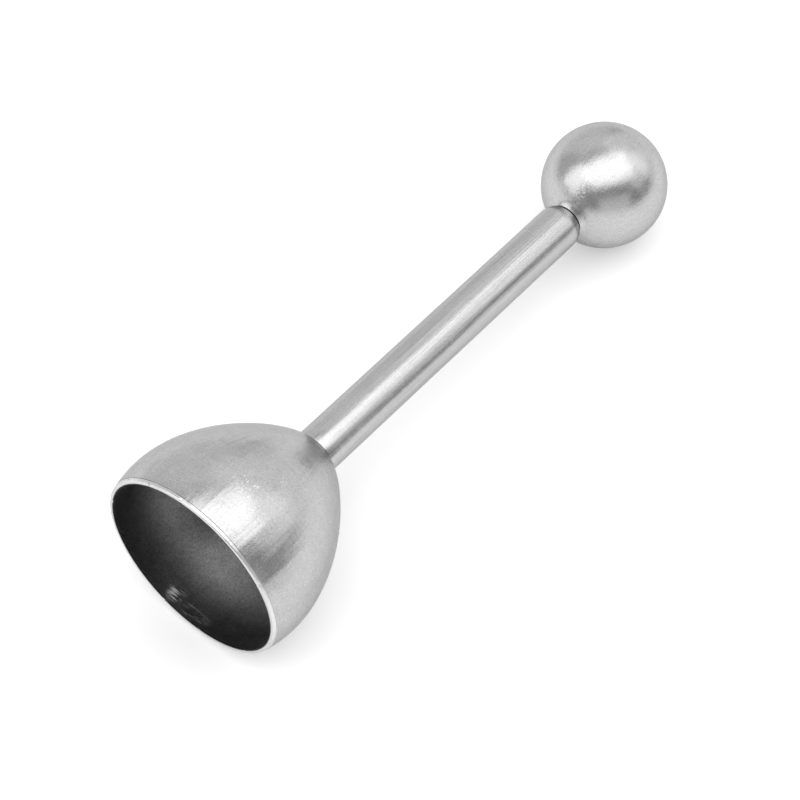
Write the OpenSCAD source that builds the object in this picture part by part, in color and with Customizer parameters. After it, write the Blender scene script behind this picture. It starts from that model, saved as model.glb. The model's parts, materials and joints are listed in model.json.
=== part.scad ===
// Egg topper: a bell-shaped cup on a tube, with a ball that is pulled out
// against a spring and let go, so that a hammer strikes the cup's crown.
// Every piece is drawn upright on the tool's own axis, with the cup's mouth
// at height 0, and then laid down as the tool rests on a table: on the
// cup's belly and the ball. X runs from the mouth to the ball, Z is up.

/* [Bell] */
// Outside diameter of the mouth
mouth_d = 39.4; // [37:0.1:40]
// Wall thickness of the cup
bell_wall = 0.95; // [0.6:0.05:1]
// Height of the crown above the mouth
bell_h = 33.1; // [31:0.1:36]
// How far out the cup's side curve leans above the mouth (radius of its handle)
belly_r = 24.7; // [22:0.1:26]
// Height of that handle
belly_z = 16.7; // [14:0.1:18]
// Radius of the handle that flattens the crown
crown_r = 7.4; // [6.5:0.1:10]

/* [Tube] */
// Outside diameter of the tube
tube_d = 9.2; // [8.8:0.1:9.4]
// Wall thickness of the tube
tube_wall = 0.6; // [0.5:0.05:0.6]
// Height of the tube's top end above the mouth
tube_top = 109.05; // [105:0.05:112]
// Length of the rounded shoulder at the tube's top end
shoulder_h = 3; // [1.8:0.1:3.2]
// How far the shoulder rolls in
shoulder_in = 1.1; // [0.5:0.1:1.2]

/* [Ball] */
// Diameter of the ball
ball_d = 25.4; // [23:0.2:26]
// Wall thickness of the ball's shells
ball_wall = 0.8; // [0.6:0.1:1.2]
// Height of the ball's centre above the neck's lower face
ball_rise = 12.75; // [12.7:0.05:13.1]
// Diameter of the neck at its lower face
neck_d = 6.8; // [6.6:0.1:7.4]
// Radius of the flare between the neck and the ball
flare_r = 3.5; // [3:0.1:4]
// Gap between the tube's end and the neck at rest
knob_gap = 0.2; // [0.15:0.05:0.4]

/* [Striker] */
// Diameter of the pull rod
rod_d = 4; // [3.6:0.1:4]
// Length of the hammer
hammer_l = 23.9; // [18:0.1:24]
// Length of the anvil plug
plug_l = 10; // [9:0.5:12]
// Travel of the ball from rest to the end of its pull
pull_travel = 22; // [10:1:22]
// How far the ball is drawn out
pull = 0; // [0:1:22]

/* [Spring] */
// Wire diameter of the return spring
wire_d = 0.6; // [0.5:0.05:0.65]
// Mean diameter of the return spring
coil_d = 5.9; // [5.6:0.1:6]
// Number of coils, closed end coils included
coils = 14; // [10:1:15]

/* [Screw] */
// Diameter of the screw's shank
screw_d = 4; // [3:0.5:4]
// Diameter of the screw's head
screw_head_d = 7.2; // [6.5:0.1:8]
// Height of the screw's head
screw_head_h = 2; // [1.6:0.1:2.4]

/* [Hidden] */

$fn = 96;
tube_r = tube_d / 2;
bore_r = tube_r - tube_wall;
ball_r = ball_d / 2;
neck_r = neck_d / 2;
rod_r = rod_d / 2;
screw_r = screw_d / 2;

// Heights along the tool's axis
crown_in = bell_h - bell_wall;
washer_t = 0.5;
plug_top = bell_h + plug_l;
hammer_z = plug_top + 0.2;
hammer_top = hammer_z + hammer_l;
seat_t = 0.8;
low_seat_z = hammer_top + 0.1;
bush_top = tube_top - shoulder_h - 0.3;
bush_l = 4.4;
bush_z = bush_top - bush_l;
up_seat_z = bush_z - seat_t;
spring_z = low_seat_z + seat_t;
spring_l = up_seat_z - spring_z;
neck_z = tube_top + knob_gap;
ball_z = neck_z + ball_rise;
lifted = min(pull, pull_travel);

// Outside of the cup: a cubic curve from the mouth to the crown
function bez(a, b, c, d, t) =
    a * pow(1 - t, 3) + 3 * b * t * pow(1 - t, 2) + 3 * c * t * t * (1 - t) + d * t * t * t;
function dbez(a, b, c, d, t) =
    3 * (b - a) * pow(1 - t, 2) + 6 * (c - b) * t * (1 - t) + 3 * (d - c) * t * t;
function cup_pt(t) = [bez(mouth_d / 2, belly_r, crown_r, tube_r, t),
                      bez(0, belly_z, bell_h, bell_h, t)];
function cup_dir(t) = [dbez(mouth_d / 2, belly_r, crown_r, tube_r, t),
                       dbez(0, belly_z, bell_h, bell_h, t)];
// Inside of the cup: the same curve, one wall thickness in
function cup_in(t) = let (d = cup_dir(t), l = norm(d))
    cup_pt(t) + bell_wall / l * [-d[1], d[0]];
cup_n = 30;
mouth_in = let (p = cup_in(0), d = cup_dir(0)) p[0] - p[1] * d[0] / d[1];

// Tilt at which the tool lies: the cup's belly and the ball touch one plane
function reach(a) = max([for (i = [0 : cup_n])
    let (p = cup_pt(i / cup_n)) p[0] * cos(a) + p[1] * sin(a)]);
function settle(a, n) = n == 0 ? a : settle(asin((reach(a) - ball_r) / ball_z), n - 1);
tilt = settle(4, 12);
lie_z = reach(tilt);
lie_x = (ball_z * cos(tilt) + ball_r - mouth_d / 2 * sin(tilt)) / 2;

// Lays an upright piece down
module lay() {
    translate([-lie_x, 0, lie_z]) rotate([0, 90 + tilt, 0]) children();
}
// The same, drawn out with the ball
module lay_pulled() {
    lay() translate([0, 0, lifted]) children();
}
// Flat ring
module ring(ro, ri, z, h) {
    translate([0, 0, z]) difference() {
        cylinder(r = ro, h = h);
        translate([0, 0, -1]) cylinder(r = ri, h = h + 2);
    }
}

module bell_cup() {
    color("silver") lay() rotate_extrude($fn = 128) polygon(concat(
        [for (i = [0 : cup_n]) cup_pt(i / cup_n)],
        [[screw_r + 0.1, bell_h], [screw_r + 0.1, crown_in]],
        [for (i = [cup_n : -1 : 0]) cup_in(i / cup_n)],
        [[mouth_in, 0]]));
}

module bell_washer() {
    color("gainsboro") lay() ring(4.2, screw_r + 0.1, crown_in - washer_t, washer_t);
}

module bell_screw() {
    z = crown_in - washer_t;
    hr = screw_head_d / 2;
    color("lightgray") lay() difference() {
        union() {
            // domed head, its crown towards the mouth
            rotate_extrude() polygon(concat([[0, z], [hr, z]],
                [for (a = [0 : 15 : 75]) [hr - 1.4 + 1.4 * cos(a), z - 0.5 - (screw_head_h - 0.5) * sin(a)]],
                [[0, z - screw_head_h]]));
            translate([0, 0, z]) cylinder(r = screw_r - 0.05, h = 7.9);
            translate([0, 0, z + 7.9]) cylinder(r1 = screw_r - 0.05, r2 = screw_r - 0.4, h = 0.35);
        }
        // hexagon socket
        translate([0, 0, z - screw_head_h - 1]) cylinder(d = 2.9, h = 2.3, $fn = 6);
    }
}

module handle_tube() {
    sz = tube_top - shoulder_h;
    color("silver") lay() rotate_extrude($fn = 128) polygon(concat(
        [[bore_r, bell_h], [tube_r, bell_h]],
        [for (a = [0 : 7.5 : 90])
            [tube_r - shoulder_in + shoulder_in * cos(a), sz + shoulder_h * sin(a)]],
        [[2.6, tube_top], [2.6, tube_top - 0.6]],
        [for (a = [90 : -15 : 0])
            [bore_r - shoulder_in + shoulder_in * cos(a), sz - 0.2 + (shoulder_h - 0.4) * sin(a)]]));
}

module anvil_plug() {
    r = bore_r - 0.02;
    color("darkgray") lay() difference() {
        translate([0, 0, bell_h]) rotate_extrude() polygon([
            [0, 0], [r - 0.3, 0], [r, 0.3], [r, plug_l - 0.4], [r - 0.4, plug_l], [0, plug_l]]);
        translate([0, 0, bell_h - 1]) cylinder(r = screw_r, h = 8.6);
        translate([0, 0, bell_h + 7.59]) cylinder(r1 = screw_r, r2 = 0.3, h = 0.7);
    }
}

module guide_bush() {
    r = bore_r - 0.02;
    color("goldenrod") lay() difference() {
        translate([0, 0, bush_z]) rotate_extrude() polygon([
            [0, 0], [r - 0.2, 0], [r, 0.2], [r, bush_l - 0.3], [r - 0.3, bush_l], [0, bush_l]]);
        translate([0, 0, bush_z - 1]) cylinder(r = rod_r + 0.05, h = bush_l + 2);
    }
}

module upper_spring_seat() {
    color("gray") lay() ring(3.7, rod_r + 0.35, up_seat_z, seat_t);
}

module lower_spring_seat() {
    color("gray") lay_pulled() ring(3.7, rod_r + 0.35, low_seat_z, seat_t);
}

// Spring: round wire swept along a coil with closed end turns
module return_spring() {
    per = 16;
    sides = 8;
    len = spring_l - lifted - 0.04;
    closed = wire_d * 1.06;
    pitch = (len - wire_d - 2 * closed) / (coils - 2);
    rings = coils * per;
    pts = [for (i = [0 : rings], k = [0 : sides - 1])
        let (u = i / per,
             z = u < 1 ? closed * u
               : u < coils - 1 ? closed + pitch * (u - 1)
               : closed + pitch * (coils - 2) + closed * (u - coils + 1),
             r = coil_d / 2 + wire_d / 2 * cos(360 * k / sides))
        [r * cos(360 * u), r * sin(360 * u),
         spring_z + lifted + 0.02 + wire_d / 2 + z + wire_d / 2 * sin(360 * k / sides)]];
    faces = concat(
        [[for (k = [0 : sides - 1]) k]],
        [for (i = [0 : rings - 1], k = [0 : sides - 1])
            [i * sides + k, (i + 1) * sides + k,
             (i + 1) * sides + (k + 1) % sides, i * sides + (k + 1) % sides]],
        [[for (k = [sides - 1 : -1 : 0]) rings * sides + k]]);
    color("slategray") lay() polyhedron(points = pts, faces = faces, convexity = 10);
}

pin_z = hammer_z + 13.7;

// Hammer: two guide lands in the tube, tapped from above for the rod
module hammer() {
    land = bore_r - 0.06;
    waist = bore_r - 0.4;
    color("dimgray") lay_pulled() difference() {
        translate([0, 0, hammer_z]) rotate_extrude() polygon([
            [0, 0], [land - 0.5, 0], [land, 0.5], [land, 5], [waist, 5.35],
            [waist, hammer_l - 5.35], [land, hammer_l - 5], [land, hammer_l - 0.4],
            [land - 0.4, hammer_l], [0, hammer_l]]);
        translate([0, 0, hammer_z + 9.7]) cylinder(r = rod_r, h = hammer_l);
        translate([0, 0, pin_z]) rotate([90, 0, 0]) cylinder(r = 0.77, h = 12, center = true, $fn = 48);
    }
}

// Slotted spring pin across the hammer and the rod
module hammer_pin() {
    l = 2 * (bore_r - 0.4) - 0.2;
    color("darkslategray") lay_pulled() translate([0, 0, pin_z]) rotate([90, 0, 0]) difference() {
        cylinder(r = 0.75, h = l, center = true, $fn = 48);
        cylinder(r = 0.42, h = l + 2, center = true, $fn = 48);
        translate([0, 0.7, 0]) cube([0.3, 1, l + 2], center = true);
    }
}

module pull_rod() {
    z0 = hammer_z + 10.1;
    z1 = neck_z + 7.35;
    color("lightsteelblue") lay_pulled() difference() {
        translate([0, 0, 0]) rotate_extrude() polygon([
            [0, z0], [rod_r - 0.35, z0], [rod_r - 0.05, z0 + 0.3], [rod_r - 0.05, hammer_top],
            [rod_r, hammer_top + 0.05], [rod_r, neck_z - 0.05], [rod_r - 0.05, neck_z],
            [rod_r - 0.05, z1 - 0.3], [rod_r - 0.35, z1], [0, z1]]);
        translate([0, 0, pin_z]) rotate([90, 0, 0]) cylinder(r = 0.77, h = 12, center = true, $fn = 48);
    }
}

// Flare of the neck: a hollow arc that leaves the neck's edge at flare_0 from
// the axis and runs tangent into the ball at flare_a below its middle
flare_0 = asin((ball_r * ball_r + 2 * ball_r * flare_r - neck_r * neck_r - ball_rise * ball_rise)
    / (2 * flare_r * norm([neck_r, ball_rise]))) - atan2(neck_r, ball_rise);
flare_c = [neck_r + flare_r * cos(flare_0), -ball_rise - flare_r * sin(flare_0)];
flare_a = atan2(-flare_c[1], flare_c[0]);

module knob_neck_shell() {
    ri = ball_r - ball_wall;
    nb = neck_r - ball_wall;
    ai = acos(nb / ri);
    color("silver") lay_pulled() translate([0, 0, ball_z]) rotate_extrude($fn = 128) polygon(concat(
        [for (i = [0 : 24]) let (a = flare_a * i / 24) [ball_r * cos(a), -ball_r * sin(a)]],
        [for (i = [1 : 6]) let (a = 180 - flare_a + (flare_a - flare_0) * i / 6)
            flare_c + flare_r * [cos(a), sin(a)]],
        [[nb, -ball_rise]],
        [for (i = [0 : 20]) let (a = ai * (20 - i) / 20) [ri * cos(a), -ri * sin(a)]]));
}

module knob_cap_shell() {
    ri = ball_r - ball_wall;
    color("silver") lay_pulled() translate([0, 0, ball_z]) rotate_extrude($fn = 128) polygon(concat(
        [for (i = [0 : 30]) [ball_r * cos(i * 3), ball_r * sin(i * 3)]],
        [for (i = [30 : -1 : 0]) [ri * cos(i * 3), ri * sin(i * 3)]]));
}

module knob_insert() {
    nb = neck_r - ball_wall - 0.02;
    ri = ball_r - ball_wall;
    foot = ball_rise - sqrt(ri * ri - 16) + 0.1;
    color("gray") lay_pulled() difference() {
        union() {
            translate([0, 0, neck_z + 0.2]) cylinder(r = nb, h = 3);
            translate([0, 0, neck_z + foot]) cylinder(r = 4, h = 6.8);
        }
        translate([0, 0, neck_z - 1]) cylinder(r = rod_r, h = 8.6);
    }
}

bell_cup();
bell_screw();
bell_washer();
handle_tube();
anvil_plug();
guide_bush();
upper_spring_seat();
return_spring();
lower_spring_seat();
hammer();
hammer_pin();
pull_rod();
knob_neck_shell();
knob_cap_shell();
knob_insert();
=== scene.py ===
import json
import math

import bpy
from mathutils import Matrix, Vector


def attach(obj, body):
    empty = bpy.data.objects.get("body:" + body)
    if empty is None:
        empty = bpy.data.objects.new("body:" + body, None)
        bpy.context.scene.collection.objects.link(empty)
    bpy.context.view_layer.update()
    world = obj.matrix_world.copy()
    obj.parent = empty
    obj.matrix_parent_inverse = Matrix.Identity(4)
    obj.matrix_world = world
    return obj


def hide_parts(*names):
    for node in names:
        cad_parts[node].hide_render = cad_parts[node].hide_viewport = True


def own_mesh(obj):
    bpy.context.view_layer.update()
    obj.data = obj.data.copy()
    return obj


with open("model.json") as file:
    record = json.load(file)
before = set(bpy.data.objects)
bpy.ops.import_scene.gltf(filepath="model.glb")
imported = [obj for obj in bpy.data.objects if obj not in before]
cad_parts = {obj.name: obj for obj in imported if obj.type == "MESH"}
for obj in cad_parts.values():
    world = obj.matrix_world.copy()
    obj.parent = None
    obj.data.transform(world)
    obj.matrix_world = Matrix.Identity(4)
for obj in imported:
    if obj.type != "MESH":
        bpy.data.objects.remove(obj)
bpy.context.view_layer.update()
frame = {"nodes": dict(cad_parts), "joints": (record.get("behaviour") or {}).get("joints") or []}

MM = 0.001

# ---------------------------------------------------------------- dimensions
# The same numbers as the construction, in millimetres on the tool's own axis.
MOUTH_R, WALL, CROWN = 19.7, 0.95, 33.1
BELLY_R, BELLY_Z, CROWN_R = 24.7, 16.7, 7.4
TUBE_R, BORE_R, TUBE_TOP = 4.6, 4.0, 109.05
SHOULDER_H, SHOULDER_IN = 3.0, 1.1
BALL_R, BALL_WALL, BALL_RISE, NECK_R, FLARE_R = 12.7, 0.8, 12.75, 3.4, 3.5
NECK_Z = TUBE_TOP + 0.2
BALL_Z = NECK_Z + BALL_RISE

pull_joint = [j for j in frame["joints"] if j["name"] == "knob_pull"][0]
spin_joint = [j for j in frame["joints"] if j["name"] == "knob_spin"][0]
AXIS = Vector(pull_joint["axis"]).normalized()
BALL_C = Vector(spin_joint["pos_m"])
# Upright local frame: Z along the tool's axis, X towards the table, Y as the row's Y
LOCAL_Y = Vector((0, 1, 0))
LOCAL_X = LOCAL_Y.cross(AXIS).normalized()
ORIGIN = BALL_C - AXIS * (BALL_Z * MM)
LAY = Matrix((
    (LOCAL_X.x, LOCAL_Y.x, AXIS.x, ORIGIN.x),
    (LOCAL_X.y, LOCAL_Y.y, AXIS.y, ORIGIN.y),
    (LOCAL_X.z, LOCAL_Y.z, AXIS.z, ORIGIN.z),
    (0, 0, 0, 1)))


# ---------------------------------------------------------------- meshes
def revolve(name, profile, mats, seg=192, slots=None, bend=None):
    """A closed (r, z) profile in mm, turned about the tool's axis. mats are its materials; slots gives each profile
    edge's material, and bend moves a point of the profile by its angle."""
    n = len(profile)
    verts, faces, idx = [], [], []
    for k in range(seg):
        a = 2 * math.pi * k / seg
        c, s = math.cos(a), math.sin(a)
        ring = [bend(r, z, 360 * k / seg) for r, z in profile] if bend else profile
        verts += [tuple(LAY @ Vector((r * 0.9996 * c * MM, r * 0.9996 * s * MM, z * MM))) for r, z in ring]
    for k in range(seg):
        k2 = (k + 1) % seg
        for i in range(n):
            j = (i + 1) % n
            faces.append((k * n + i, k2 * n + i, k2 * n + j, k * n + j))
            idx.append(slots[i] if slots else 0)
    mesh = bpy.data.meshes.new(name)
    mesh.from_pydata(verts, [], faces)
    for m in mats:
        mesh.materials.append(m)
    mesh.polygons.foreach_set("material_index", idx)
    mesh.polygons.foreach_set("use_smooth", [True] * len(faces))
    mesh.update()
    area = sum(profile[i][0] * profile[(i + 1) % n][1] - profile[(i + 1) % n][0] * profile[i][1] for i in range(n))
    if area < 0:
        mesh.flip_normals()
    obj = bpy.data.objects.new(name, mesh)
    bpy.context.scene.collection.objects.link(obj)
    sharp(mesh)
    return obj


def sharp(mesh, deg=32):
    """Marks the edges that turn by more than deg as sharp, so that flat faces shade flat."""
    mesh.set_sharp_from_angle(angle=math.radians(deg))


def arc(cx, cz, r, a0, a1, n):
    return [(cx + r * math.cos(math.radians(a0 + (a1 - a0) * i / n)),
             cz + r * math.sin(math.radians(a0 + (a1 - a0) * i / n))) for i in range(n + 1)]


def bez(a, b, c, d, t):
    return a * (1 - t) ** 3 + 3 * b * t * (1 - t) ** 2 + 3 * c * t * t * (1 - t) + d * t ** 3


def dbez(a, b, c, d, t):
    return 3 * (b - a) * (1 - t) ** 2 + 6 * (c - b) * t * (1 - t) + 3 * (d - c) * t * t


def cup_pt(t):
    return (bez(MOUTH_R, BELLY_R, CROWN_R, TUBE_R, t), bez(0, BELLY_Z, CROWN, CROWN, t))


def cup_n(t):
    dr, dz = dbez(MOUTH_R, BELLY_R, CROWN_R, TUBE_R, t), dbez(0, BELLY_Z, CROWN, CROWN, t)
    l = math.hypot(dr, dz)
    return (dz / l, -dr / l)


def cup_in(t):
    (r, z), (nr, nz) = cup_pt(t), cup_n(t)
    return (r - WALL * nr, z - WALL * nz)


def solve(f, lo, hi):
    for _ in range(60):
        mid = (lo + hi) / 2
        if f(mid) > 0:
            hi = mid
        else:
            lo = mid
    return (lo + hi) / 2


# ---------------------------------------------------------------- materials
def new_mat(name):
    m = bpy.data.materials.new(name)
    m.use_nodes = True
    nt = m.node_tree
    nt.nodes.clear()
    out = nt.nodes.new("ShaderNodeOutputMaterial")
    bsdf = nt.nodes.new("ShaderNodeBsdfPrincipled")
    nt.links.new(bsdf.outputs[0], out.inputs[0])
    return m, nt, bsdf


def noise(nt, vec, scale, detail=3.0, rough=0.5, distort=0.0):
    n = nt.nodes.new("ShaderNodeTexNoise")
    n.inputs["Scale"].default_value = scale
    n.inputs["Detail"].default_value = detail
    n.inputs["Roughness"].default_value = rough
    n.inputs["Distortion"].default_value = distort
    nt.links.new(vec, n.inputs["Vector"])
    return n.outputs["Fac"]


def mapping(nt, vec, scale, loc=(0, 0, 0)):
    m = nt.nodes.new("ShaderNodeMapping")
    m.inputs["Scale"].default_value = scale
    m.inputs["Location"].default_value = loc
    nt.links.new(vec, m.inputs["Vector"])
    return m.outputs[0]


def remap(nt, val, a0, a1, b0, b1, clamp=True):
    m = nt.nodes.new("ShaderNodeMapRange")
    m.clamp = clamp
    m.inputs["From Min"].default_value = a0
    m.inputs["From Max"].default_value = a1
    m.inputs["To Min"].default_value = b0
    m.inputs["To Max"].default_value = b1
    nt.links.new(val, m.inputs["Value"])
    return m.outputs[0]


def math_node(nt, op, a, b=None):
    m = nt.nodes.new("ShaderNodeMath")
    m.operation = op
    for i, v in enumerate((a, b)):
        if v is None:
            continue
        if isinstance(v, (int, float)):
            m.inputs[i].default_value = v
        else:
            nt.links.new(v, m.inputs[i])
    return m.outputs[0]


def ramp_colour(nt, val, lo, hi):
    m = nt.nodes.new("ShaderNodeMix")
    m.data_type = "RGBA"
    m.inputs["A"].default_value = (*lo, 1)
    m.inputs["B"].default_value = (*hi, 1)
    nt.links.new(val, m.inputs["Factor"])
    return m.outputs["Result"]


def bump(nt, height, strength, distance, normal=None):
    b = nt.nodes.new("ShaderNodeBump")
    b.inputs["Strength"].default_value = strength
    b.inputs["Distance"].default_value = distance
    nt.links.new(height, b.inputs["Height"])
    if normal is not None:
        nt.links.new(normal, b.inputs["Normal"])
    return b.outputs[0]


UNLAY = LAY.inverted()


def tool_coords(nt):
    """Places on the tool's own axis, in metres: the vector, the angle round the axis, and X, Y and Z."""
    tc = nt.nodes.new("ShaderNodeTexCoord")
    mp = nt.nodes.new("ShaderNodeMapping")
    mp.inputs["Rotation"].default_value = UNLAY.to_euler("XYZ")
    mp.inputs["Location"].default_value = UNLAY.to_translation()
    nt.links.new(tc.outputs["Object"], mp.inputs["Vector"])
    sep = nt.nodes.new("ShaderNodeSeparateXYZ")
    nt.links.new(mp.outputs[0], sep.inputs[0])
    ang = math_node(nt, "ARCTAN2", sep.outputs["Y"], sep.outputs["X"])
    return mp.outputs[0], ang, sep.outputs["X"], sep.outputs["Y"], sep.outputs["Z"]


def combine(nt, x, y, z):
    c = nt.nodes.new("ShaderNodeCombineXYZ")
    for i, v in enumerate((x, y, z)):
        if isinstance(v, (int, float)):
            c.inputs[i].default_value = v
        else:
            nt.links.new(v, c.inputs[i])
    return c.outputs[0]


def satin_steel(name, base, rough, grain=1.0, cloud=1.0, wave=1.0, lines="around", line_amp=0.3, mottle=0.15):
    """Satin stainless: grit of a fifth of a millimetre, patches of 2 mm and clouds of 7 mm in tone and roughness, the
    slow unevenness of a pressed or drawn surface, and brush lines along the tube, round the cup or over the ball."""
    m, nt, b = new_mat(name)
    b.inputs["Metallic"].default_value = 1.0
    b.inputs["Specular Tint"].default_value = (0.62, 0.62, 0.62, 1)      # steel reflects less towards its limb
    obj, ang, x, y, z = tool_coords(nt)
    grit = noise(nt, obj, 5200.0, 2.0, 0.6)
    fine = noise(nt, obj, 2400.0, 3.0, 0.6)
    patch = noise(nt, obj, 480.0, 3.0, 0.6)
    clouds = noise(nt, obj, 140.0, 2.0, 0.5)
    # angle and height scales of the lines and of the soft folds
    la, lz, fa, fz = {"along": (16.0, 40.0, 3.0, 28.0), "around": (1.6, 1500.0, 7.5, 18.0),
                      "over": (36.0, 330.0, 5.0, 130.0)}[lines]
    streak = noise(nt, combine(nt, math_node(nt, "MULTIPLY", ang, la), 0.0, math_node(nt, "MULTIPLY", z, lz)), 1.0, 5.0, 0.7)
    folds = noise(nt, combine(nt, math_node(nt, "MULTIPLY", ang, fa), 0.0, math_node(nt, "MULTIPLY", z, fz)), 1.0, 2.0, 0.5)
    tone = math_node(nt, "ADD", math_node(nt, "MULTIPLY", grit, 0.5), math_node(nt, "MULTIPLY", fine, 0.25))
    tone = math_node(nt, "ADD", tone, math_node(nt, "MULTIPLY", patch, 0.15))
    tone = math_node(nt, "ADD", tone, math_node(nt, "MULTIPLY", clouds, 0.1))
    tone = math_node(nt, "ADD", math_node(nt, "MULTIPLY", tone, 1 - 0.5 * line_amp), math_node(nt, "MULTIPLY", streak, 0.5 * line_amp))
    lo = tuple(c * (1 - mottle) for c in base)
    hi = tuple(min(1, c * (1 + mottle)) for c in base)
    nt.links.new(ramp_colour(nt, remap(nt, tone, 0.35, 0.65, 0, 1), lo, hi), b.inputs["Base Color"])
    r = math_node(nt, "ADD", math_node(nt, "MULTIPLY", clouds, 0.10), math_node(nt, "MULTIPLY", patch, 0.12))
    r = math_node(nt, "ADD", r, math_node(nt, "MULTIPLY", streak, line_amp * 0.16))
    nt.links.new(math_node(nt, "ADD", r, rough - 0.11 - 0.08 * line_amp), b.inputs["Roughness"])
    if lines == "around":
        folds = math_node(nt, "MULTIPLY", folds, remap(nt, z, 0.022, 0.031, 1.0, 0.15))      # smooth again by the crown
    n1 = bump(nt, folds, 1.0, 0.00008 * wave)
    n1 = bump(nt, patch, 1.0, 0.00004 * cloud, n1)
    n1 = bump(nt, streak, 1.0, 0.000018 * line_amp, n1)
    n1 = bump(nt, fine, 1.0, 0.00002 * grain, n1)
    nt.links.new(n1, b.inputs["Normal"])
    return m, nt, b, (obj, ang, z, fine, patch, streak)


def window(nt, val, centre, half, edge):
    """1 within half of centre, falling to 0 over edge."""
    d = math_node(nt, "ABSOLUTE", math_node(nt, "SUBTRACT", val, centre))
    return remap(nt, d, half, half + edge, 1.0, 0.0)


def overlay(nt, b, mask, colour):
    """Lays a colour over the shader's base colour where mask is 1."""
    link = b.inputs["Base Color"].links[0]
    m = nt.nodes.new("ShaderNodeMix")
    m.data_type = "RGBA"
    nt.links.new(link.from_socket, m.inputs["A"])
    m.inputs["B"].default_value = (*colour, 1)
    nt.links.new(mask, m.inputs["Factor"])
    nt.links.new(m.outputs["Result"], b.inputs["Base Color"])


def inside_with_painted_shade(name):
    """Inside of the cup: unpolished, its base colour darkened as painted shade and lighter in a band of painted glow
    part way up, with faint turning rings and two clusters of scratches by the lip, painted near white as glints."""
    m, nt, b = new_mat(name)
    obj, ang, x, y, z = tool_coords(nt)
    grit = noise(nt, obj, 4600.0, 2.0, 0.6)
    fine = noise(nt, obj, 2200.0, 3.0, 0.6)
    patch = noise(nt, obj, 420.0, 3.0, 0.6)
    clouds = noise(nt, obj, 110.0, 2.0, 0.5)
    rings = noise(nt, combine(nt, math_node(nt, "MULTIPLY", ang, 1.2), 0.0, math_node(nt, "MULTIPLY", z, 1900.0)), 1.0, 4.0, 0.7)
    tone = math_node(nt, "ADD", math_node(nt, "MULTIPLY", grit, 0.5), math_node(nt, "MULTIPLY", fine, 0.25))
    tone = math_node(nt, "ADD", tone, math_node(nt, "MULTIPLY", patch, 0.15))
    tone = math_node(nt, "ADD", tone, math_node(nt, "MULTIPLY", clouds, 0.10))
    tone = remap(nt, tone, 0.35, 0.65, 0, 1)
    # painted glow: a lighter band about 5 to 16.5 mm up; below and above it the inside is kept dark as painted shade
    painted_glow = math_node(nt, "MULTIPLY", remap(nt, z, 0.005, 0.0105, 0.1, 1.0), remap(nt, z, 0.0115, 0.0165, 1.0, 0.0))
    shade = nt.nodes.new("ShaderNodeMix")
    shade.data_type = "RGBA"
    nt.links.new(painted_glow, shade.inputs["Factor"])
    nt.links.new(ramp_colour(nt, tone, (0.09, 0.09, 0.09), (0.30, 0.30, 0.30)), shade.inputs["A"])
    nt.links.new(ramp_colour(nt, tone, (0.24, 0.24, 0.24), (0.66, 0.66, 0.66)), shade.inputs["B"])
    nt.links.new(shade.outputs["Result"], b.inputs["Base Color"])
    r = math_node(nt, "ADD", math_node(nt, "MULTIPLY", clouds, 0.06), math_node(nt, "MULTIPLY", rings, 0.10))
    nt.links.new(math_node(nt, "ADD", r, 0.28), b.inputs["Roughness"])
    # fine scratches in two clusters, the first a little aslant and the second along the lip, painted near white and
    # less metallic as glints
    skew = math_node(nt, "ADD", math_node(nt, "MULTIPLY", z, 2600.0), math_node(nt, "MULTIPLY", ang, 9.0))
    hair = noise(nt, combine(nt, math_node(nt, "MULTIPLY", ang, 7.0), 0.0, skew), 1.0, 2.0, 0.5)
    swirl = noise(nt, combine(nt, math_node(nt, "MULTIPLY", ang, 4.5), 0.0, math_node(nt, "MULTIPLY", z, 2900.0)), 1.0, 2.0, 0.5)
    m1 = math_node(nt, "MULTIPLY", window(nt, ang, 0.36, 0.035, 0.09), window(nt, z, 0.0023, 0.0008, 0.0016))
    m2 = math_node(nt, "MULTIPLY", window(nt, ang, 0.07, 0.08, 0.14), window(nt, z, 0.0019, 0.0004, 0.0012))
    m1 = math_node(nt, "MULTIPLY", m1, remap(nt, hair, 0.50, 0.60, 0.0, 1.0))
    m2 = math_node(nt, "MULTIPLY", m2, remap(nt, swirl, 0.52, 0.62, 0.0, 0.75))
    mask = math_node(nt, "MAXIMUM", m1, m2)
    overlay(nt, b, mask, (0.85, 0.85, 0.84))
    nt.links.new(math_node(nt, "SUBTRACT", 1.0, math_node(nt, "MULTIPLY", mask, 0.7)), b.inputs["Metallic"])
    n1 = bump(nt, patch, 1.0, 0.00003)
    n1 = bump(nt, rings, 1.0, 0.000012, n1)
    n1 = bump(nt, fine, 1.0, 0.00002, n1)
    nt.links.new(n1, b.inputs["Normal"])
    return m


def plain_metal(name, base, rough, grain=3000.0, amp=0.1, turned=False):
    """Small hardware: even colour with a fine grain, and turning marks about the axis if turned."""
    m, nt, b = new_mat(name)
    b.inputs["Metallic"].default_value = 1.0
    obj, ang, x, y, z = tool_coords(nt)
    fine = noise(nt, obj, grain, 3.0, 0.6)
    cloud = noise(nt, obj, 260.0, 2.0, 0.5)
    lo = tuple(c * 0.92 for c in base)
    hi = tuple(min(1, c * 1.06) for c in base)
    nt.links.new(ramp_colour(nt, remap(nt, math_node(nt, "ADD", math_node(nt, "MULTIPLY", fine, 0.5), math_node(nt, "MULTIPLY", cloud, 0.5)), 0.35, 0.65, 0, 1), lo, hi), b.inputs["Base Color"])
    nt.links.new(math_node(nt, "ADD", math_node(nt, "MULTIPLY", cloud, 0.12), rough - 0.06), b.inputs["Roughness"])
    n1 = bump(nt, fine, amp, 0.00003)
    if turned:
        t = noise(nt, combine(nt, math_node(nt, "MULTIPLY", ang, 0.5), 0.0, math_node(nt, "MULTIPLY", z, 5200.0)), 1.0, 2.0, 0.5)
        n1 = bump(nt, t, 0.2, 0.00003, n1)
    nt.links.new(n1, b.inputs["Normal"])
    return m


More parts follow.
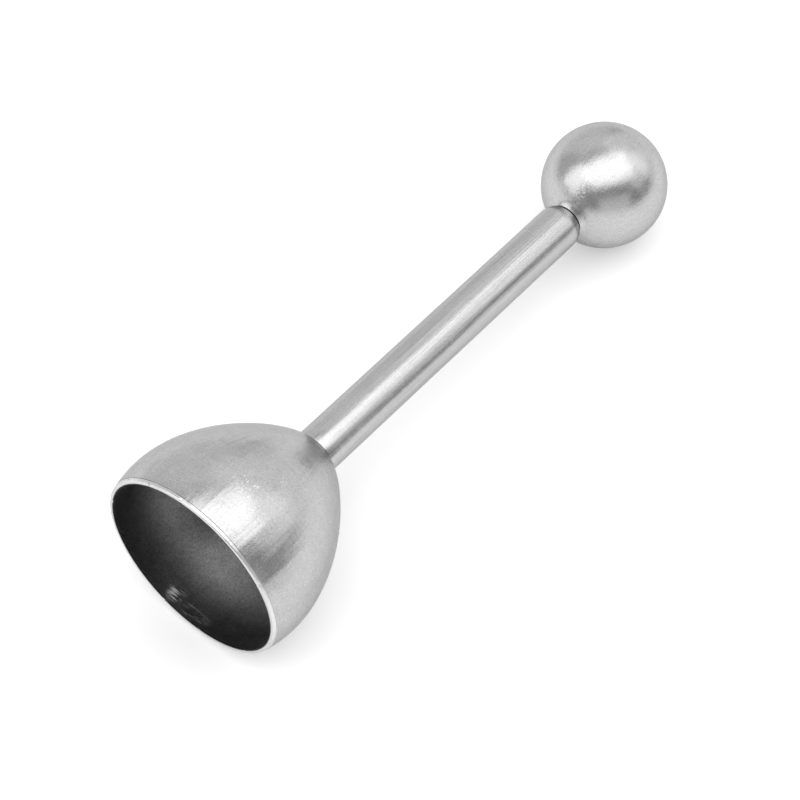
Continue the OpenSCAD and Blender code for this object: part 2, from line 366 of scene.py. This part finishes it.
cup_mat, nt, b, (obj, ang, z, fine, patch, streak) = satin_steel("cup_satin", (0.49, 0.49, 0.49), 0.27, grain=1.2, cloud=0.4, wave=1.8, lines="around", line_amp=0.3, mottle=0.25)
# two rubbed places on the cup's side, with short bright scratches
hair = noise(nt, mapping(nt, obj, (1500.0, 2600.0, 1500.0)), 1.0, 2.0, 0.5)
rub = math_node(nt, "MULTIPLY", window(nt, ang, -2.92, 0.05, 0.12), window(nt, z, 0.0108, 0.0006, 0.0028))
rub2 = math_node(nt, "MULTIPLY", window(nt, ang, -2.727, 0.012, 0.03), window(nt, z, 0.01665, 0.0004, 0.0012))
overlay(nt, b, math_node(nt, "MULTIPLY", math_node(nt, "MAXIMUM", rub, rub2), remap(nt, hair, 0.60, 0.68, 0.0, 1.0)), (0.95, 0.95, 0.95))
ball_mat, nt, b, (obj, ang, z, fine, patch, streak) = satin_steel("ball_satin", (0.505, 0.505, 0.505), 0.275, cloud=0.35, wave=0.3, lines="over", line_amp=0.5, mottle=0.24)
# a few specks by the neck, left from the weld, painted near white as glints
speck = remap(nt, noise(nt, obj, 2600.0, 1.0, 0.5), 0.54, 0.59, 0.0, 1.0)
spot = math_node(nt, "MULTIPLY", window(nt, ang, -2.94, 0.05, 0.12), window(nt, z, 0.1117, 0.0004, 0.0012))
overlay(nt, b, math_node(nt, "MULTIPLY", spot, speck), (0.98, 0.98, 0.98))
tube_mat, nt, b, (obj, ang, z, fine, patch, streak) = satin_steel("tube_brushed", (0.47, 0.47, 0.47), 0.25, grain=0.8, cloud=0.6, lines="along", line_amp=0.9, mottle=0.24)
lip_mat, nt, b, (obj, ang, z, fine, patch, streak) = satin_steel("lip_ground", (0.69, 0.69, 0.69), 0.30, grain=1.4, cloud=1.2, lines="around", line_amp=0.8, mottle=0.16)
# chips and stains on the ground lip
overlay(nt, b, remap(nt, patch, 0.67, 0.74, 0.0, 0.6), (0.2, 0.195, 0.19))
# the line where the ground band ends, dark on one side and faint elsewhere
line_mat, nt, b, (obj, ang, z, fine, patch, streak) = satin_steel("lip_line", (0.46, 0.46, 0.46), 0.35, lines="around", line_amp=0.3)
side = remap(nt, math_node(nt, "COSINE", math_node(nt, "SUBTRACT", ang, 2.9)), 0.35, 0.75, 0.0, 1.0)
gap = remap(nt, noise(nt, mapping(nt, obj, (260.0, 260.0, 260.0)), 1.0, 2.0, 0.5), 0.40, 0.52, 0.35, 1.0)
overlay(nt, b, math_node(nt, "MULTIPLY", side, gap), (0.06, 0.058, 0.055))
inside_mat = inside_with_painted_shade("cup_inside")
# near-black painted shade for the rim's inner edge, the tube's foot on the crown, the tube's end ring and bore, and the
# neck's faces in the gap
painted_shade_mat = plain_metal("painted_shade_seams", (0.02, 0.019, 0.018), 0.55, amp=0.05)

# ---------------------------------------------------------------- visible pieces
# Cup: outer curve, rounded rim, inner curve one wall thickness in, crown with its screw hole
ro, ri = 0.28, 0.10
t0 = solve(lambda t: cup_pt(t)[1] - ro * cup_n(t)[1] - ro, 0.0, 0.2)
c0 = (cup_pt(t0)[0] - ro * cup_n(t0)[0], ro)
t1 = solve(lambda t: cup_in(t)[1] + ri * cup_n(t)[1] - ri, 0.0, 0.2)
c1 = (cup_in(t1)[0] + ri * cup_n(t1)[0], ri)
a_out = math.degrees(math.atan2(cup_n(t0)[1], cup_n(t0)[0]))
a_in = math.degrees(math.atan2(-cup_n(t1)[1], -cup_n(t1)[0]))
prof, slot = [], []


def add(pts, mat):
    for p in pts:
        prof.append(p)
        slot.append(mat)


NO = 80
LIP = 0.6                                                               # height of the ground band outside
tl = solve(lambda t: cup_pt(t)[1] - LIP, 0.0, 0.3)
tg = solve(lambda t: cup_pt(t)[1] - LIP - 0.09, 0.0, 0.3)
groove = (cup_pt((tl + tg) / 2)[0] - 0.05, LIP + 0.045)
add([cup_pt(tg + (1 - tg) * i / NO) for i in range(1, NO + 1)], 0)      # outside, mouth to crown
add([(3.3, CROWN), (2.12, CROWN)], 0)
add([(2.1, CROWN - 0.05), (2.1, CROWN - WALL + 0.05), (2.12, CROWN - WALL)], 2)
add([(3.3, CROWN - WALL)], 2)
add([cup_in(1 - (1 - t1) * i / NO) for i in range(0, NO)], 2)          # inside, crown to mouth
for i, (pr, pz) in enumerate(prof):                                    # painted shade line inside the rim
    if slot[i] == 2 and pz < 0.7:
        slot[i] = 3
add(arc(c1[0], c1[1], ri, a_in, 270, 5), 3)                            # rim's inner edge, darkened with painted shade
slot[-1] = 3
add([(c1[0] + 0.19, 0.0), (c0[0] - 0.05, 0.0)], 1)
add(arc(c0[0], c0[1], ro, -90, a_out, 8), 1)                           # rim's outer edge
add([cup_pt(t0 + (tl - t0) * i / 3) for i in range(1, 4)], 1)          # ground band
slot[-1] = 4
add([groove, cup_pt(tg)], 4)                                           # fine line where the band ends
slot[-1] = 0

# small knocks in the lip's edge: angle round the axis, half width in degrees, depth in mm
KNOCKS = [(98, 1.6, 0.16), (122, 1.0, 0.08), (147, 1.2, 0.10), (175, 1.1, 0.15), (208, 1.1, 0.08), (235, 1.2, 0.16),
          (22, 1.3, 0.16), (355, 1.2, 0.14), (318, 1.0, 0.10), (284, 1.4, 0.10)]


def knock(r, z, deg):
    if z > 0.5 or r < MOUTH_R - 0.75:
        return r, z
    for at, half, depth in KNOCKS:
        d = abs((deg - at + 180) % 360 - 180) / half
        if d < 1:
            k = depth * (1 - d * d) ** 2 * (1 - z / 0.5)
            r, z = r - k * 0.8, z + k * 0.5
    return r, z


bell = revolve("bell_cup_skin", prof, [cup_mat, lip_mat, inside_mat, painted_shade_mat, line_mat], seg=360, slots=slot, bend=knock)
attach(bell, "barrel")
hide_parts("bell_cup")

# Tube: straight wall, rolled-in shoulder, end ring round the rod
sz = TUBE_TOP - SHOULDER_H
prof, slot = [], []
add([(TUBE_R - 0.22, CROWN), (TUBE_R - 0.18, CROWN + 0.23), (TUBE_R - 0.06, CROWN + 0.29)], 1)    # shadowed seam on the cup's crown
slot[-1] = 0
add([(TUBE_R, CROWN + 0.46 + (sz - CROWN - 0.46) * i / 24) for i in range(0, 24)], 0)
add([(TUBE_R - SHOULDER_IN + SHOULDER_IN * math.cos(math.radians(a)), sz + SHOULDER_H * math.sin(math.radians(a)))
     for a in [4 * k for k in range(0, 21)]], 0)
# from the end of the shoulder, the end ring and the bore are in painted shade
slot[-1] = 1
add([(TUBE_R - SHOULDER_IN + 0.03, TUBE_TOP - 0.03), (TUBE_R - SHOULDER_IN - 0.04, TUBE_TOP)], 1)
add([(2.68, TUBE_TOP), (2.6, TUBE_TOP - 0.08), (2.6, TUBE_TOP - 0.54), (2.66, TUBE_TOP - 0.6)], 1)
add([(BORE_R - SHOULDER_IN + SHOULDER_IN * math.cos(math.radians(a)), sz - 0.2 + (SHOULDER_H - 0.4) * math.sin(math.radians(a)))
     for a in range(90, -1, -10)], 1)
add([(BORE_R, CROWN)], 1)
tube = revolve("handle_tube_skin", prof, [tube_mat, painted_shade_mat], seg=160, slots=slot)
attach(tube, "barrel")
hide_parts("handle_tube")

# Ball: two welded shells that meet at the equator, the lower one drawn into a flared neck
f0 = math.asin((BALL_R ** 2 + 2 * BALL_R * FLARE_R - NECK_R ** 2 - BALL_RISE ** 2)
               / (2 * FLARE_R * math.hypot(NECK_R, BALL_RISE))) - math.atan2(NECK_R, BALL_RISE)
fr, fz = NECK_R + FLARE_R * math.cos(f0), -BALL_RISE - FLARE_R * math.sin(f0)
fa, f0 = math.degrees(math.atan2(-fz, fr)), math.degrees(f0)
rin, nb = BALL_R - BALL_WALL, NECK_R - BALL_WALL
ai = math.degrees(math.acos(nb / rin))
prof, slot = [], []
add([(BALL_R * math.cos(math.radians(-fa * i / 60)), BALL_Z + BALL_R * math.sin(math.radians(-fa * i / 60))) for i in range(0, 61)], 0)
add(arc(fr, BALL_Z + fz, FLARE_R, 180 - fa + (fa - f0) / 16, 180 - f0 - 3.6, 15), 0)
# from the end of the flare, the neck and its face in the gap are in painted shade
slot[-1] = 1
add([(NECK_R + 0.0, NECK_Z + 0.03), (NECK_R - 0.06, NECK_Z), (nb + 0.05, NECK_Z), (nb, NECK_Z + 0.05)], 1)
add([(rin * math.cos(math.radians(-ai * (30 - i) / 30)), BALL_Z + rin * math.sin(math.radians(-ai * (30 - i) / 30))) for i in range(0, 31)], 0)
neck = revolve("knob_neck_skin", prof, [ball_mat, painted_shade_mat], seg=192, slots=slot)
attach(neck, "striker")
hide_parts("knob_neck_shell")

prof = [(BALL_R * math.cos(math.radians(1.25 * i)), BALL_Z + BALL_R * math.sin(math.radians(1.25 * i))) for i in range(0, 72)]
prof += [(0.02, BALL_Z + BALL_R), (0.02, BALL_Z + rin)]
prof += [(rin * math.cos(math.radians(3 * i)), BALL_Z + rin * math.sin(math.radians(3 * i))) for i in range(29, -1, -1)]
cap = revolve("knob_cap_skin", prof, [ball_mat], seg=192)
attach(cap, "striker")
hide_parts("knob_cap_shell")

# ---------------------------------------------------------------- carried-over pieces
finishes = {
    "bell_screw": plain_metal("screw_steel", (0.55, 0.55, 0.56), 0.26, turned=True),
    "bell_washer": plain_metal("washer_steel", (0.52, 0.52, 0.52), 0.32),
    "anvil_plug": plain_metal("plug_steel", (0.5, 0.5, 0.5), 0.34, turned=True),
    "guide_bush": plain_metal("bush_brass", (0.74, 0.55, 0.26), 0.28, turned=True),
    "upper_spring_seat": plain_metal("upper_seat_steel", (0.5, 0.5, 0.5), 0.34),
    "lower_spring_seat": plain_metal("lower_seat_steel", (0.5, 0.5, 0.5), 0.34),
    "hammer": plain_metal("hammer_steel", (0.48, 0.48, 0.48), 0.34, turned=True),
    "hammer_pin": plain_metal("pin_steel", (0.4, 0.4, 0.41), 0.36),
    "pull_rod": plain_metal("rod_steel", (0.62, 0.62, 0.62), 0.14, amp=0.04),
    "knob_insert": plain_metal("insert_steel", (0.5, 0.5, 0.5), 0.34, turned=True),
    "return_spring": plain_metal("spring_steel", (0.42, 0.42, 0.43), 0.3),
}
for name, m in finishes.items():
    o = frame["nodes"][name]
    o.data.materials.clear()
    o.data.materials.append(m)
    for p in o.data.polygons:
        p.use_smooth = True
    sharp(o.data, 60 if name == "return_spring" else 18)
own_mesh(frame["nodes"]["return_spring"])

# ---------------------------------------------------------------- floor
fm, nt, b = new_mat("floor_white")
tc = nt.nodes.new("ShaderNodeTexCoord")
fn = noise(nt, tc.outputs["Object"], 60.0, 3.0, 0.5)
nt.links.new(ramp_colour(nt, fn, (0.795, 0.795, 0.793), (0.805, 0.805, 0.803)), b.inputs["Base Color"])
b.inputs["Roughness"].default_value = 0.9
b.inputs["Specular IOR Level"].default_value = 0.15
b.inputs["Emission Color"].default_value = (1, 1, 1, 1)
b.inputs["Emission Strength"].default_value = 0.25
fmesh = bpy.data.meshes.new("floor")
S = 4.0
fmesh.from_pydata([(-S, -S, 0), (S, -S, 0), (S, S, 0), (-S, S, 0)], [], [(0, 1, 2, 3)])
fmesh.materials.append(fm)
floor = bpy.data.objects.new("floor", fmesh)
bpy.context.scene.collection.objects.link(floor)

# ---------------------------------------------------------------- light
# Directions are given by azimuth from the picture's right (90 is away from the camera) and elevation.
RIGHT = Vector((0.640657, -0.767827, 0))
AWAY = Vector((0.767827, 0.640657, 0))


def softbox(name, az, el, dist, w, h, radiance, tilt=None):
    d = (RIGHT * math.cos(math.radians(az)) + AWAY * math.sin(math.radians(az))) * math.cos(math.radians(el)) \
        + Vector((0, 0, math.sin(math.radians(el))))
    data = bpy.data.lights.new(name, "AREA")
    data.shape = "RECTANGLE"
    data.size, data.size_y = w, h
    data.energy = radiance * math.pi * w * h
    data.color = (1, 1, 1)
    o = bpy.data.objects.new(name, data)
    o.location = d * dist
    zax = d.normalized()
    side = Vector((-math.sin(math.radians(az)), math.cos(math.radians(az)), 0))
    xax = (RIGHT * side.x + AWAY * side.y).normalized()
    yax = zax.cross(xax)
    m = Matrix((xax, yax, zax)).transposed().to_4x4()
    m.translation = o.location
    o.matrix_world = m
    bpy.context.scene.collection.objects.link(o)
    return o


softbox("top", -67, 81.5, 1.2, 2.05, 1.21, 1.25)
softbox("key", -87, 74.8, 1.25, 1.67, 1.08, 0.525)
softbox("right", 2.6, 33.4, 1.2, 1.12, 0.72, 0.50)
softbox("left", -166.8, 32.4, 1.2, 0.83, 1.01, 1.43)
softbox("right_back", 40.4, 32.1, 1.35, 1.82, 1.70, 0.408)
softbox("back", 110, 15.8, 1.5, 1.54, 2.4, 0.295)
softbox("front", -72.8, 2, 1.4, 1.54, 1.44, 0.50)

# the room: dim towards the camera, a little brighter behind the tool
world = bpy.data.worlds.new("studio")
bpy.context.scene.world = world
world.use_nodes = True
nt = world.node_tree
tc = nt.nodes.new("ShaderNodeTexCoord")
dot = nt.nodes.new("ShaderNodeVectorMath")
dot.operation = "DOT_PRODUCT"
dot.inputs[1].default_value = AWAY
nt.links.new(tc.outputs["Generated"], dot.inputs[0])
room = remap(nt, dot.outputs["Value"], -0.3, 0.4, 0.30, 0.60)
nt.nodes["Background"].inputs["Color"].default_value = (1, 1, 1, 1)
nt.links.new(room, nt.nodes["Background"].inputs["Strength"])

# ---------------------------------------------------------------- camera
cam_data = bpy.data.cameras.new("camera")
cam = bpy.data.objects.new("camera", cam_data)
bpy.context.scene.collection.objects.link(cam)
cam_data.sensor_fit = "HORIZONTAL"
cam_data.sensor_width = 36.0
cam_data.lens = 113.2966
cam_data.clip_start = 0.01
pos = Vector((-0.21337850, -0.17149522, 0.40943547))
right = Vector((0.64206876, -0.76664706, 0.0))
up = Vector((0.63814508, 0.53444804, 0.55419866))
back = right.cross(up)
m = Matrix((right, up, back)).transposed().to_4x4()
m.translation = pos
cam.matrix_world = m
bpy.context.scene.camera = cam

sc = bpy.context.scene
sc.view_settings.view_transform = "Standard"
sc.view_settings.look = "None"

bpy.context.view_layer.update()
